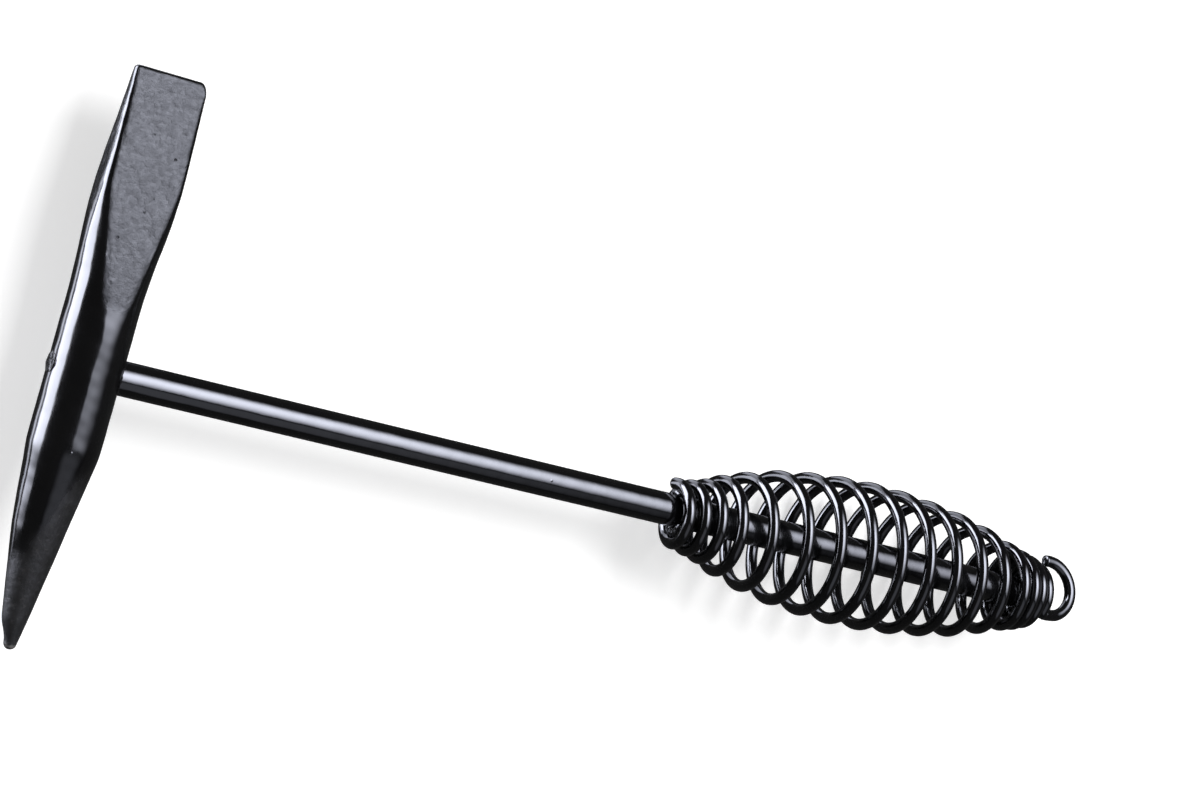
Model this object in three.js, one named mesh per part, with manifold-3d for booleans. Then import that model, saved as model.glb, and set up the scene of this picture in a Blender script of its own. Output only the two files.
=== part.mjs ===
// Spring-grip chipping hammer: a forged head, a round handle rod and a coiled wire grip.
// Design frame: +X runs along the handle from the head to the hang loop, +Y runs along the
// head toward the chisel edge, and +Z is square to the chisel's broad facets. The head axis
// and the rod axis cross at the design origin. All sizes are in millimetres.
import * as THREE from "three";
import { mergeVertices } from "three/addons/utils/BufferGeometryUtils.js";
import Module from "manifold-3d";

// ---- driving dimensions ----
// Clearance left between touching pieces.
const FIT_GAP = 0.3;

// Handle rod, with a turned-down tenon that passes through the head.
const ROD_DIAMETER = 8;
const ROD_END_X = 267.5;
const ROD_END_CHAMFER = 0.5;
const TENON_DIAMETER = 5;
const SOCKET_DEPTH_X = 2;

// Forged head: conical point, round body, chisel blade.
const BODY_DIAMETER = 16.7;
const POINT_REACH = 64.8;
const CHISEL_REACH = 68.2;
const CONE_START = 18.5;
const TIP_RADIUS = 1.5;
const SHOULDER_REACH = 2;
const SHOULDER_DROP = 0.13;
const FACET_START = 14;
const EDGE_THICKNESS = 2.2;
const FLARE_START = 15;
const FLARE_END = 47;
const FLARE_GROWTH = 2;
const FLARE_FLATTENING = 0.35;
const BLADE_WIDTH_ROOT = 19.2;
const BLADE_WIDTH_EDGE = 17.6;
const BLADE_ROOT = 32;
const BLADE_START = 24;
const BLADE_BOW = 1;
const POINT_BOW = 0.45;
const NEAR_CORNER = 1;
const FAR_CORNER_WIDTH = 1.7;
const FAR_CORNER_HEIGHT = 3.4;

// Weld beads at the head.
const FILLET_LEG = 0.9;
const FILLET_NOSE = 0.25;
const PLUG_LENGTH = 1.2;
const PLUG_CROWN = 0.35;
const PLUG_DISH = 0.6;

// Wire grip: closer front turns, an open barrel, tight rear turns and a hang loop. The gaps
// are the room left between neighbouring turns, along the rod.
const WIRE_DIAMETER = 3;
const FRONT_RISE = -0.7;
const REAR_RISE = 0.5;
const GRIP_REACH = 111.4;
const GRIP_START_ANGLE = -18;
const GRIP_END_ANGLE = 124;
const GRIP_TURNS = 16;
const FRONT_GAP = 1.17;
const OPEN_GAP = 6.08;
const REAR_GAP = 0.05;
const FRONT_TURNS = 2.45;
const FRONT_BLEND = 2;
const REAR_TURNS = 2.3;
const REAR_BLEND = 1.6;
// Barrel outline: distance from the grip's start, and the room there from rod to wire.
const BARREL = [
  [0, 1.87],
  [2.2, 1.8],
  [10.2, 3.8],
  [15.2, 5.9],
  [32.2, 10],
  [57.2, 11.9],
  [84.2, 9.3],
  [104.2, 4.2],
  [108.7, 3.1],
  [114.7, 0.8],
];

// Hang loop: one bent ring that springs from the last turn and rests back on its top.
const LOOP_RADIUS = 7.3;
const LOOP_CENTRE_RISE = 3.2;
const LOOP_CENTRE_SIDE = 1.9;
const LOOP_CENTRE_OFFSET = 2.9;
const LOOP_TILT = 23;
const LOOP_FROM = -72;
const LOOP_TO = 102;

// Weld beads on the grip: a small tack under the wire's start, and a fat bead below the rod.
const TACK_RADIUS = 0.65;
const TACK_FROM = -15;
const TACK_TO = 30;
const BEAD_RADIUS = 1.45;
const BEAD_FROM = 115;
const BEAD_TO = 235;
const BEAD_STEP = 15;
const END_WELD_SPREAD = 0.8;
const END_WELD_CROWN = 1.6;

// Mesh fineness, and how far a cutting solid reaches past what it cuts.
const ROUND_SEGMENTS = 48;
const WIRE_SIDES = 8;
const WIRE_STEPS = 430;
const STEPS_PER_TURN = 24;
const LOOP_STEPS = 15;
const BEAD_STEPS = 4;
const ARC_STEPS = 4;
const CONE_STEPS = 5;
const BAR_STEP = 4;
const BLADE_STEPS = 6;
const BARREL_STEPS = 240;
const CUT_REACH = 4;

// ---- derived dimensions ----
const BODY_RADIUS = BODY_DIAMETER / 2;
const ROD_RADIUS = ROD_DIAMETER / 2;
const TENON_RADIUS = TENON_DIAMETER / 2;
const WIRE_RADIUS = WIRE_DIAMETER / 2;
const PLUG_CROWN_X = -(BODY_RADIUS + PLUG_CROWN);
const PLUG_BASE_X = PLUG_CROWN_X + PLUG_LENGTH;
const TENON_END_X = PLUG_BASE_X + FIT_GAP;
const GRIP_START_X = ROD_END_X - GRIP_REACH;
const GRIP_LENGTH = BARREL[BARREL.length - 1][0];
const GRIP_SWEEP = 360 * GRIP_TURNS + GRIP_END_ANGLE - GRIP_START_ANGLE;
const FACET_SLOPE = (BODY_RADIUS - EDGE_THICKNESS / 2) / (CHISEL_REACH - FACET_START);

const wasm = await Module();
wasm.setup();

// ---- small helpers ----
const radians = THREE.MathUtils.degToRad;
const smooth = (value, low, high) => THREE.MathUtils.smoothstep(value, low, high);

// Turns a closed three.js geometry into a manifold-3d solid.
function toSolid(geometry) {
  const bare = geometry.index ? geometry.toNonIndexed() : geometry.clone();
  bare.deleteAttribute("normal");
  bare.deleteAttribute("uv");
  const merged = mergeVertices(bare, 1e-4);
  const vertProperties = new Float32Array(merged.attributes.position.array);
  const triVerts = new Uint32Array(merged.index.array);
  return new wasm.Manifold(new wasm.Mesh({ numProp: 3, vertProperties, triVerts }));
}

// Turns a manifold-3d solid back into a three.js geometry.
function toGeometry(solid) {
  const mesh = solid.getMesh();
  const geometry = new THREE.BufferGeometry();
  geometry.setAttribute("position", new THREE.BufferAttribute(mesh.vertProperties, 3));
  geometry.setIndex(new THREE.BufferAttribute(mesh.triVerts, 1));
  geometry.computeVertexNormals();
  return geometry;
}

// Revolves [radius, distance] points about the X axis.
function revolveAboutX(points, segments) {
  const profile = points.map(([radius, along]) => new THREE.Vector2(radius, along));
  const geometry = new THREE.LatheGeometry(profile, segments);
  geometry.rotateZ(-Math.PI / 2);
  return geometry;
}

// Extrudes an outline drawn in the XY plane to the given depth, centred on Z = 0.
function centredPrism(points, depth) {
  const outline = new THREE.Shape(points.map(([x, y]) => new THREE.Vector2(x, y)));
  const geometry = new THREE.ExtrudeGeometry(outline, { depth, bevelEnabled: false });
  geometry.translate(0, 0, -depth / 2);
  return geometry;
}

// ---- forged head ----
// Half width of the blade between its two narrow side faces.
function bladeHalfWidth(y) {
  const share = (y - BLADE_ROOT) / (CHISEL_REACH - BLADE_ROOT);
  return THREE.MathUtils.lerp(BLADE_WIDTH_ROOT, BLADE_WIDTH_EDGE, share) / 2;
}

// Sideways offset of the head's axis: both ends bow slightly toward the handle.
function headBow(y) {
  const blade = BLADE_BOW * smooth(y, FLARE_START, CHISEL_REACH);
  return blade + POINT_BOW * smooth(-y, CONE_START, POINT_REACH);
}

// Round bar with a pointed end, widened in X and flattened in Z where the blade is drawn out.
function forgedBar() {
  const halfAngle = Math.atan((BODY_RADIUS - TIP_RADIUS) / (POINT_REACH - CONE_START));
  const profile = [[0, -POINT_REACH]];
  for (let i = 1; i <= ARC_STEPS; i += 1) {
    const sweep = (Math.PI / 2 - halfAngle) * (i / ARC_STEPS);
    const radius = TIP_RADIUS * Math.sin(sweep);
    profile.push([radius, -POINT_REACH + TIP_RADIUS * (1 - Math.cos(sweep))]);
  }
  const tipEnd = profile[ARC_STEPS];
  for (let i = 1; i < CONE_STEPS; i += 1) {
    const radius = THREE.MathUtils.lerp(tipEnd[0], BODY_RADIUS, i / CONE_STEPS);
    profile.push([radius, THREE.MathUtils.lerp(tipEnd[1], -CONE_START, i / CONE_STEPS)]);
  }
  profile.push([BODY_RADIUS - SHOULDER_DROP, -CONE_START - SHOULDER_REACH / 2]);
  profile.push([BODY_RADIUS, -CONE_START + SHOULDER_REACH]);
  for (let y = FLARE_START; y < CHISEL_REACH + CUT_REACH; y += BAR_STEP) {
    profile.push([BODY_RADIUS, y]);
  }
  profile.push([0, profile[profile.length - 1][1]]);
  const points = profile.map(([radius, y]) => new THREE.Vector2(radius, y));
  const geometry = new THREE.LatheGeometry(points, ROUND_SEGMENTS);
  const position = geometry.attributes.position;
  for (let i = 0; i < position.count; i += 1) {
    const y = position.getY(i);
    const spread = smooth(y, FLARE_START, FLARE_END);
    const widen = 1 + (FLARE_GROWTH / BODY_RADIUS) * spread;
    const flatten = 1 - (FLARE_FLATTENING / BODY_RADIUS) * spread;
    position.setX(i, position.getX(i) * widen + headBow(y));
    position.setZ(i, position.getZ(i) * flatten);
  }
  return geometry;
}

// Wedge that leaves the two broad facets, drawn in the YZ plane.
function facetWedge() {
  const clear = BODY_RADIUS + CUT_REACH;
  const wideY = FACET_START - (clear - BODY_RADIUS) / FACET_SLOPE;
  const edge = EDGE_THICKNESS / 2;
  const outline = [
    [-clear, -POINT_REACH - CUT_REACH],
    [clear, -POINT_REACH - CUT_REACH],
    [clear, wideY],
    [edge, CHISEL_REACH],
    [-edge, CHISEL_REACH],
    [-clear, wideY],
  ];
  const geometry = centredPrism(outline, 4 * BODY_RADIUS);
  geometry.rotateY(-Math.PI / 2);
  return geometry;
}

// Plan outline that leaves the blade's narrow side faces, its corners and its cutting edge.
function bladeOutline() {
  const near = [];
  const far = [];
  for (let i = 0; i <= BLADE_STEPS; i += 1) {
    const y = THREE.MathUtils.lerp(BLADE_START, CHISEL_REACH - FAR_CORNER_HEIGHT, i / BLADE_STEPS);
    near.push([headBow(y) - bladeHalfWidth(y), y]);
    far.push([headBow(y) + bladeHalfWidth(y), y]);
  }
  const nearEdge = BLADE_BOW - BLADE_WIDTH_EDGE / 2;
  const farEdge = BLADE_BOW + BLADE_WIDTH_EDGE / 2;
  const corners = [];
  for (let i = 1; i <= ARC_STEPS; i += 1) {
    const sweep = (Math.PI / 2) * (i / ARC_STEPS);
    const x = farEdge - FAR_CORNER_WIDTH * (1 - Math.cos(sweep));
    corners.push([x, CHISEL_REACH - FAR_CORNER_HEIGHT * (1 - Math.sin(sweep))]);
  }
  for (let i = 0; i <= ARC_STEPS; i += 1) {
    const sweep = (Math.PI / 2) * (1 - i / ARC_STEPS);
    const x = nearEdge + NEAR_CORNER * (1 - Math.cos(sweep));
    corners.push([x, CHISEL_REACH - NEAR_CORNER * (1 - Math.sin(sweep))]);
  }
  const wide = 2 * BODY_RADIUS;
  const foot = -POINT_REACH - CUT_REACH;
  const start = [[-wide, foot], [wide, foot], [wide, far[0][1]]];
  const outline = [...start, ...far, ...corners, ...near.reverse(), [-wide, near[near.length - 1][1]]];
  return centredPrism(outline, 4 * BODY_RADIUS);
}

// Stepped cross hole: a socket for the rod, and a smaller hole through to the far side.
function crossHole() {
  const socket = ROD_RADIUS + FIT_GAP;
  const through = TENON_RADIUS + FIT_GAP;
  const clear = 2 * BODY_RADIUS;
  const step = SOCKET_DEPTH_X - FIT_GAP;
  const narrow = [[0, -clear], [through, -clear], [through, step]];
  const profile = [...narrow, [socket, step], [socket, clear], [0, clear]];
  return revolveAboutX(profile, ROUND_SEGMENTS);
}

function chippingHead() {
  const bar = toSolid(forgedBar());
  const blade = bar.intersect(toSolid(facetWedge())).intersect(toSolid(bladeOutline()));
  return toGeometry(blade.subtract(toSolid(crossHole())));
}

// ---- handle rod ----
function handleRod() {
  const tip = ROD_RADIUS - ROD_END_CHAMFER;
  const profile = [
    [0, TENON_END_X],
    [TENON_RADIUS, TENON_END_X],
    [TENON_RADIUS, SOCKET_DEPTH_X],
    [ROD_RADIUS, SOCKET_DEPTH_X],
    [ROD_RADIUS, ROD_END_X - ROD_END_CHAMFER],
    [tip, ROD_END_X],
    [0, ROD_END_X],
  ];
  return revolveAboutX(profile, ROUND_SEGMENTS);
}

// ---- weld beads at the head ----
// Low crowned plug that fills the mouth of the cross hole over the tenon's end.
function plugWeld() {
  const profile = [
    [0, PLUG_CROWN_X],
    [TENON_RADIUS * PLUG_DISH, PLUG_CROWN_X + PLUG_CROWN * (1 - PLUG_DISH)],
    [TENON_RADIUS, PLUG_CROWN_X + PLUG_CROWN],
    [TENON_RADIUS, PLUG_BASE_X],
    [0, PLUG_BASE_X],
  ];
  return revolveAboutX(profile, ROUND_SEGMENTS / 2);
}

// Concave fillet ring round the rod, saddled onto the round body of the head.
function filletWeld() {
  const inner = ROD_RADIUS + FIT_GAP;
  const base = BODY_RADIUS + FIT_GAP;
  const profile = [[inner, base], [inner, base + FILLET_LEG]];
  for (let i = 1; i <= ARC_STEPS; i += 1) {
    const sweep = (Math.PI / 2) * (i / ARC_STEPS);
    const radius = inner + FILLET_NOSE + (FILLET_LEG - FILLET_NOSE) * (1 - Math.cos(sweep));
    profile.push([radius, base + FILLET_NOSE + (FILLET_LEG - FILLET_NOSE) * (1 - Math.sin(sweep))]);
  }
  profile.push([inner + FILLET_LEG, base]);
  profile.push([inner, base]);
  const geometry = revolveAboutX(profile.reverse(), ROUND_SEGMENTS);
  const position = geometry.attributes.position;
  for (let i = 0; i < position.count; i += 1) {
    const z = position.getZ(i);
    const sag = BODY_RADIUS - Math.sqrt(BODY_RADIUS * BODY_RADIUS - z * z);
    position.setX(i, position.getX(i) - sag);
  }
  return geometry;
}

// ---- wire grip ----
const snug = ROD_RADIUS + WIRE_RADIUS;
const barrel = new THREE.SplineCurve(BARREL.map(([along, room]) => new THREE.Vector2(along, snug + room)));
const barrelPoints = barrel.getPoints(BARREL_STEPS);

// Coil radius at a distance from the grip's start.
function coilRadius(along) {
  const next = barrelPoints.findIndex((point) => point.x > along);
  if (next < 0) return barrelPoints[barrelPoints.length - 1].y;
  if (next === 0) return barrelPoints[0].y;
  const from = barrelPoints[next - 1];
  const to = barrelPoints[next];
  return THREE.MathUtils.mapLinear(along, from.x, to.x, from.y, to.y);
}

// Axial advance per turn: close at the front, open along the barrel, tight at the rear.
function pitchAt(turn) {
  const opening = smooth(turn, FRONT_TURNS, FRONT_TURNS + FRONT_BLEND);
  const last = GRIP_SWEEP / 360 - REAR_TURNS;
  const closing = smooth(turn, last - REAR_BLEND, last);
  const front = THREE.MathUtils.lerp(FRONT_GAP, OPEN_GAP, opening);
  return WIRE_DIAMETER + THREE.MathUtils.lerp(front, REAR_GAP, closing);
}

// Point on a turn of the coil. The angle starts at +Y and turns toward +Z. The coil sits
// slightly askew on the rod, low at its front and high at its rear.
function coilPoint(x, angle) {
  const along = x - GRIP_START_X;
  const radius = coilRadius(along);
  const rise = THREE.MathUtils.mapLinear(along, 0, GRIP_LENGTH, FRONT_RISE, REAR_RISE);
  const y = rise + radius * Math.cos(angle);
  return new THREE.Vector3(x, y, radius * Math.sin(angle));
}

// Centreline of the coil, a right-hand helix.
function coilPath() {
  const turns = GRIP_SWEEP / 360;
  const count = Math.round(turns * STEPS_PER_TURN);
  const points = [];
  let x = GRIP_START_X;
  for (let i = 0; i <= count; i += 1) {
    const turn = (turns * i) / count;
    points.push(coilPoint(x, radians(GRIP_START_ANGLE + 360 * turn)));
    x += (pitchAt(turn) * turns) / count;
  }
  return points;
}

// Centreline of the hang loop, a tilted ring behind the last turn.
function loopPath(end) {
  const tilt = radians(LOOP_TILT);
  const points = [];
  for (let i = 0; i <= LOOP_STEPS; i += 1) {
    const angle = radians(THREE.MathUtils.lerp(LOOP_FROM, LOOP_TO, i / LOOP_STEPS));
    const up = LOOP_RADIUS * Math.sin(angle);
    const x = end.x + LOOP_CENTRE_OFFSET + LOOP_RADIUS * Math.cos(angle);
    const y = LOOP_CENTRE_RISE + up * Math.cos(tilt);
    points.push(new THREE.Vector3(x, y, LOOP_CENTRE_SIDE - up * Math.sin(tilt)));
  }
  return points;
}

// Regular polygon used as the section of a wire or bead.
function roundSection(radius, sides) {
  const corners = [];
  for (let i = 0; i < sides; i += 1) {
    const angle = (2 * Math.PI * i) / sides;
    corners.push(new THREE.Vector2(radius * Math.cos(angle), radius * Math.sin(angle)));
  }
  return new THREE.Shape(corners);
}

// Sweeps a round section along a smooth curve through the points.
function sweep(points, radius, sides, steps) {
  const path = new THREE.CatmullRomCurve3(points, false, "centripetal");
  path.arcLengthDivisions = 6 * steps;
  return new THREE.ExtrudeGeometry(roundSection(radius, sides), { steps, extrudePath: path });
}

function springGrip() {
  const coil = coilPath();
  const loop = loopPath(coil[coil.length - 1]);
  return sweep([...coil, ...loop], WIRE_RADIUS, WIRE_SIDES, WIRE_STEPS);
}

// ---- weld beads on the grip ----
// Bead of a given thickness, laid in the corner between the rod and the front of the first turn.
function gripBead(size, from, to) {
  const radius = ROD_RADIUS + FIT_GAP + size;
  const reach = WIRE_RADIUS + FIT_GAP + size;
  const coil = coilPath();
  const points = [];
  for (let degrees = from; degrees <= to; degrees += BEAD_STEP) {
    const turns = (degrees - GRIP_START_ANGLE) / 360;
    const wire = coil[Math.round(turns * STEPS_PER_TURN)];
    const angle = Math.atan2(wire.z, wire.y);
    const outward = Math.hypot(wire.y, wire.z) - radius;
    const forward = Math.sqrt(Math.max(reach * reach - outward * outward, 0));
    points.push(new THREE.Vector3(wire.x - forward, radius * Math.cos(angle), radius * Math.sin(angle)));
  }
  return sweep(points, size, WIRE_SIDES, BEAD_STEPS * (points.length - 1));
}

// Crowned puddle on the rod's rear end that spreads toward the last turn round it.
function rearGripWeld() {
  const base = ROD_END_X + FIT_GAP;
  const spread = ROD_RADIUS + END_WELD_SPREAD;
  const profile = [[0, base]];
  for (let i = 0; i < ARC_STEPS; i += 1) {
    const sweep = (Math.PI / 2) * (i / ARC_STEPS);
    profile.push([spread * Math.cos(sweep), base + END_WELD_CROWN * Math.sin(sweep)]);
  }
  profile.push([0, base + END_WELD_CROWN]);
  return revolveAboutX(profile, ROUND_SEGMENTS / 2);
}

// ---- materials ----
const forgedPaint = new THREE.MeshStandardMaterial({ color: 0x0b0b0c, roughness: 0.32, metalness: 0 });
const glossPaint = new THREE.MeshStandardMaterial({ color: 0x080809, roughness: 0.16, metalness: 0 });
const weldPaint = new THREE.MeshStandardMaterial({ color: 0x0d0d0e, roughness: 0.38, metalness: 0 });

// ---- assembly ----
const assembly = new THREE.Group();

function place(name, geometry, material) {
  const mesh = new THREE.Mesh(geometry, material);
  mesh.name = name;
  assembly.add(mesh);
}

place("chipping_head", chippingHead(), forgedPaint);
place("handle_rod", handleRod(), glossPaint);
place("front_plug_weld", plugWeld(), weldPaint);
place("head_fillet_weld", filletWeld(), weldPaint);
place("spring_grip", springGrip(), glossPaint);
place("start_tack_weld", gripBead(TACK_RADIUS, TACK_FROM, TACK_TO), weldPaint);
place("front_grip_weld", gripBead(BEAD_RADIUS, BEAD_FROM, BEAD_TO), weldPaint);
place("rear_grip_weld", rearGripWeld(), weldPaint);

// The part's own frame has its origin at the bottom centre of the whole hammer.
const bounds = new THREE.Box3().setFromObject(assembly, true);
const centre = bounds.getCenter(new THREE.Vector3());
assembly.position.set(-centre.x, -centre.y, -bounds.min.z);

const group = new THREE.Group();
group.add(assembly);
export default group;
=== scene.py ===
# %% [markdown]
# # A chipping hammer with a coiled wire grip
#
# The real tool is a forged steel head with a conical point at one end and a chisel blade at the other.
# A round rod is welded into the head, and one long wire is wound round the rod as the grip.
# Everything is dipped in black paint, so what the eye reads is mostly the light that the paint reflects.
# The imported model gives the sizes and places. This file makes the fine surfaces and the finishes.

# %% Load the frame
import bpy
import numpy as np
from mathutils import Matrix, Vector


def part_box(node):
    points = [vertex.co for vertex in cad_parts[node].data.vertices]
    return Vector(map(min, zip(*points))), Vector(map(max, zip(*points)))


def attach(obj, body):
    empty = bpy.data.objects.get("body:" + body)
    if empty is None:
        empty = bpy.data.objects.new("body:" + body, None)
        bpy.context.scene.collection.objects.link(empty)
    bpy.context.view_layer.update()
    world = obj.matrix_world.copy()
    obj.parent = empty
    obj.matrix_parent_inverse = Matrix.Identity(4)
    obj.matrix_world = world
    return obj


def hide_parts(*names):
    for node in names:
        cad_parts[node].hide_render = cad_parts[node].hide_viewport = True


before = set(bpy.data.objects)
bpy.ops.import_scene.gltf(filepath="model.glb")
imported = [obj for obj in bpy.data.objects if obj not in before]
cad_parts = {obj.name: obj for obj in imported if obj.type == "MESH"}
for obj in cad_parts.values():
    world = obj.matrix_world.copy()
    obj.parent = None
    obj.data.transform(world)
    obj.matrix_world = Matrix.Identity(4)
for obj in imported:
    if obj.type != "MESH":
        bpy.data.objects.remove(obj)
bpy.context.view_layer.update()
print("nodes:", sorted(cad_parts))

# %% [markdown]
# ## Where things are
#
# The head's axis and the rod's axis cross at one point. Every shape below is worked out in millimetres
# from that crossing, with X along the rod, Y along the head toward the chisel, and Z square to the
# chisel's broad facets. The rod's box in the frame gives the crossing, so the shapes land on the model.

# %% The crossing point and the way into the frame
MM = 0.001
ROD_END = 267.5

rod_low, rod_high = (np.array(corner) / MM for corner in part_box("handle_rod"))
rod_middle = (rod_low + rod_high) / 2
crossing = np.array([rod_high[0] - ROD_END, rod_middle[1], rod_middle[2]])
rod_radius = (rod_high[2] - rod_low[2]) / 2


def to_frame(points):
    """Moves points in millimetres from the crossing into the frame, in metres."""
    return (np.asarray(points) + crossing) * MM


print("crossing at", crossing.round(3), "mm, rod radius", round(float(rod_radius), 3), "mm")

# %% [markdown]
# ## From an array of points to a mesh
#
# Each piece is a grid of points: rings that stand one after another along the piece, with the same number
# of points in each ring. Neighbouring points make four-sided faces, and a single point closes each end.
# The signed volume shows whether the faces point outward, and they are turned round if they don't.

# %% Helpers: ring grids, smooth steps and soft corners
def ring_mesh(name, rings, node, material, fields=None):
    """Makes a closed mesh from rings, an array of stations x around x 3 in millimetres.

    The middle of the first and of the last ring closes the ends. fields holds named values for each point.
    """
    stations, around, _ = rings.shape
    ends = np.stack([rings[0].mean(axis=0), rings[-1].mean(axis=0)])
    points = np.concatenate([rings.reshape(-1, 3), ends])
    index = np.arange(stations * around).reshape(stations, around)
    ahead = np.roll(index, -1, axis=1)
    quads = np.stack([index[:-1], ahead[:-1], ahead[1:], index[1:]], axis=-1).reshape(-1, 4)
    first = np.stack([ahead[0], index[0], np.full(around, stations * around)], axis=-1)
    last = np.stack([index[-1], ahead[-1], np.full(around, stations * around + 1)], axis=-1)
    fans = np.concatenate([first, last])
    a, b, c = (points[fans[:, k]] for k in range(3))
    volume = np.einsum("ij,ij->", a, np.cross(b, c))
    for low, high in ((1, 2), (2, 3)):
        a, b, c = points[quads[:, 0]], points[quads[:, low]], points[quads[:, high]]
        volume += np.einsum("ij,ij->", a, np.cross(b, c))
    if volume < 0:
        quads = quads[:, ::-1]
        fans = fans[:, ::-1]
    loops = np.concatenate([quads.ravel(), fans.ravel()]).astype(np.int32)
    sizes = np.concatenate([np.full(len(quads), 4), np.full(len(fans), 3)])
    starts = np.concatenate([[0], np.cumsum(sizes)[:-1]]).astype(np.int32)
    mesh = bpy.data.meshes.new(name)
    mesh.vertices.add(len(points))
    mesh.vertices.foreach_set("co", to_frame(points).astype(np.float32).ravel())
    mesh.loops.add(len(loops))
    mesh.loops.foreach_set("vertex_index", loops)
    mesh.polygons.add(len(sizes))
    mesh.polygons.foreach_set("loop_start", starts)
    mesh.polygons.foreach_set("use_smooth", np.ones(len(sizes), dtype=bool))
    for field, values in (fields or {}).items():
        closed = np.concatenate([values.ravel(), [values[0].mean(), values[-1].mean()]])
        mesh.attributes.new(field, "FLOAT", "POINT").data.foreach_set("value", closed.astype(np.float32))
    mesh.update(calc_edges=True)
    mesh.validate()
    piece = bpy.data.objects.new(name, mesh)
    bpy.context.scene.collection.objects.link(piece)
    mesh.materials.append(material)
    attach(piece, "root")
    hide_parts(node)
    bulk = round(abs(volume) / 6, 1)
    print(name, "has", len(points), "points and", len(sizes), "faces, volume", bulk, "mm3")


def smooth_step(value, low, high):
    """0 before low, 1 after high, and 3s2 - 2s3 of the share s in between."""
    share = np.clip((value - low) / (high - low), 0, 1)
    return share * share * (3 - 2 * share)


def soft_max(a, b, width):
    """The larger of two distances, with the corner where they are equal rounded over a width."""
    overlap = np.clip(width - np.abs(a - b), 0, None) / width
    return np.maximum(a, b) + overlap * overlap * width / 4


def slow_waves(points, wavelength, seed, count=10):
    """A smooth uneven field between about -1 and 1: twice the mean of sine waves in random directions."""
    chance = np.random.default_rng(seed)
    ways = chance.normal(size=(count, 3))
    ways /= np.linalg.norm(ways, axis=1, keepdims=True)
    lengths = wavelength * chance.uniform(0.7, 1.6, size=count)
    shifts = chance.uniform(0, 2 * np.pi, size=count)
    waves = np.sin(points @ (ways * (2 * np.pi / lengths)[:, None]).T + shifts)
    return waves.mean(axis=-1) * 2


# %% [markdown]
# ## Building finishes from nodes
#
# The three finishes share one base: black paint with a clear gloss. What sets them apart is how rough the
# paint is and how uneven the steel below it is. A short helper wires nodes by name, so that each finish
# reads as a list of what it is made of. Sizes and bump depths in the finishes are in metres.

# %% Helper: a small node tree writer
class Finish:
    """A material whose nodes are added one by one and read like a recipe."""

    def __init__(self, name, colour):
        self.material = bpy.data.materials.new(name)
        self.material.use_nodes = True
        self.material.diffuse_color = (*colour, 1)
        self.tree = self.material.node_tree
        self.paint = self.tree.nodes["Principled BSDF"]
        coordinates = self.tree.nodes.new("ShaderNodeTexCoord")
        self.place = coordinates.outputs["Object"]

    def join(self, source, socket):
        """Links an output to a socket, or sets the socket to a plain value."""
        if isinstance(source, bpy.types.NodeSocket):
            self.tree.links.new(source, socket)
        else:
            socket.default_value = source

    def math(self, operation, *values, clamp=False):
        """One Math node."""
        node = self.tree.nodes.new("ShaderNodeMath")
        node.operation = operation
        node.use_clamp = clamp
        for value, socket in zip(values, node.inputs):
            self.join(value, socket)
        return node.outputs[0]

    def ramp(self, value, low, high, start=0.0, end=1.0):
        """Value carried from the span low..high to the span start..end, eased at both ends."""
        node = self.tree.nodes.new("ShaderNodeMapRange")
        node.interpolation_type = "SMOOTHSTEP"
        for source, socket in zip((value, low, high, start, end), node.inputs):
            self.join(source, socket)
        return node.outputs[0]

    def noise(self, size, detail=2.0, roughness=0.5, stretch=None):
        """Noise with features about size metres across, stretched along an axis where asked."""
        node = self.tree.nodes.new("ShaderNodeTexNoise")
        node.inputs["Scale"].default_value = 1 / size
        node.inputs["Detail"].default_value = detail
        node.inputs["Roughness"].default_value = roughness
        place = self.place
        if stretch:
            mapping = self.tree.nodes.new("ShaderNodeMapping")
            mapping.inputs["Scale"].default_value = stretch
            self.join(place, mapping.inputs["Vector"])
            place = mapping.outputs[0]
        self.join(place, node.inputs["Vector"])
        return node.outputs["Fac"]

    def specks(self, size, share, reach):
        """Round specks: 1 at the middle of a share of the cells, falling to 0 at reach cells."""
        node = self.tree.nodes.new("ShaderNodeTexVoronoi")
        node.inputs["Scale"].default_value = 1 / size
        self.join(self.place, node.inputs["Vector"])
        split = self.tree.nodes.new("ShaderNodeSeparateColor")
        self.join(node.outputs["Color"], split.inputs[0])
        chosen = self.math("LESS_THAN", split.outputs[0], share)
        return self.math("MULTIPLY", chosen, self.ramp(node.outputs["Distance"], 0.0, reach, 1.0, 0.0))

    def field(self, name):
        """A value stored on the mesh for each point."""
        node = self.tree.nodes.new("ShaderNodeAttribute")
        node.attribute_name = name
        return node.outputs["Fac"]

    def bump(self, height, distance, below=None):
        """Bump of a 0 to 1 height over a distance in metres, on top of an earlier bump."""
        node = self.tree.nodes.new("ShaderNodeBump")
        node.inputs["Distance"].default_value = distance
        self.join(height, node.inputs["Height"])
        if below is not None:
            self.join(below, node.inputs["Normal"])
        return node.outputs[0]

    def blend(self, share, first, second):
        """Blend from one value to another."""
        node = self.tree.nodes.new("ShaderNodeMix")
        for source, place in ((share, 0), (first, 2), (second, 3)):
            self.join(source, node.inputs[place])
        return node.outputs[0]

    def colour(self, share, first, second):
        """Blend from one colour to another. The first may be an earlier blend."""
        node = self.tree.nodes.new("ShaderNodeMix")
        node.data_type = "RGBA"
        for source, place in ((share, 0), (first, 6), (second, 7)):
            source = (*source, 1) if isinstance(source, tuple) else source
            self.join(source, node.inputs[place])
        return node.outputs[2]


# %% [markdown]
# ## Gloss paint on the rod and the wire
#
# Dipped paint settles into a faint orange peel, with a dust pimple here and there. The peel is a bump of
# about ten microns over slow waves, far below what a mesh should carry, and the roughness drifts a little.

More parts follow.
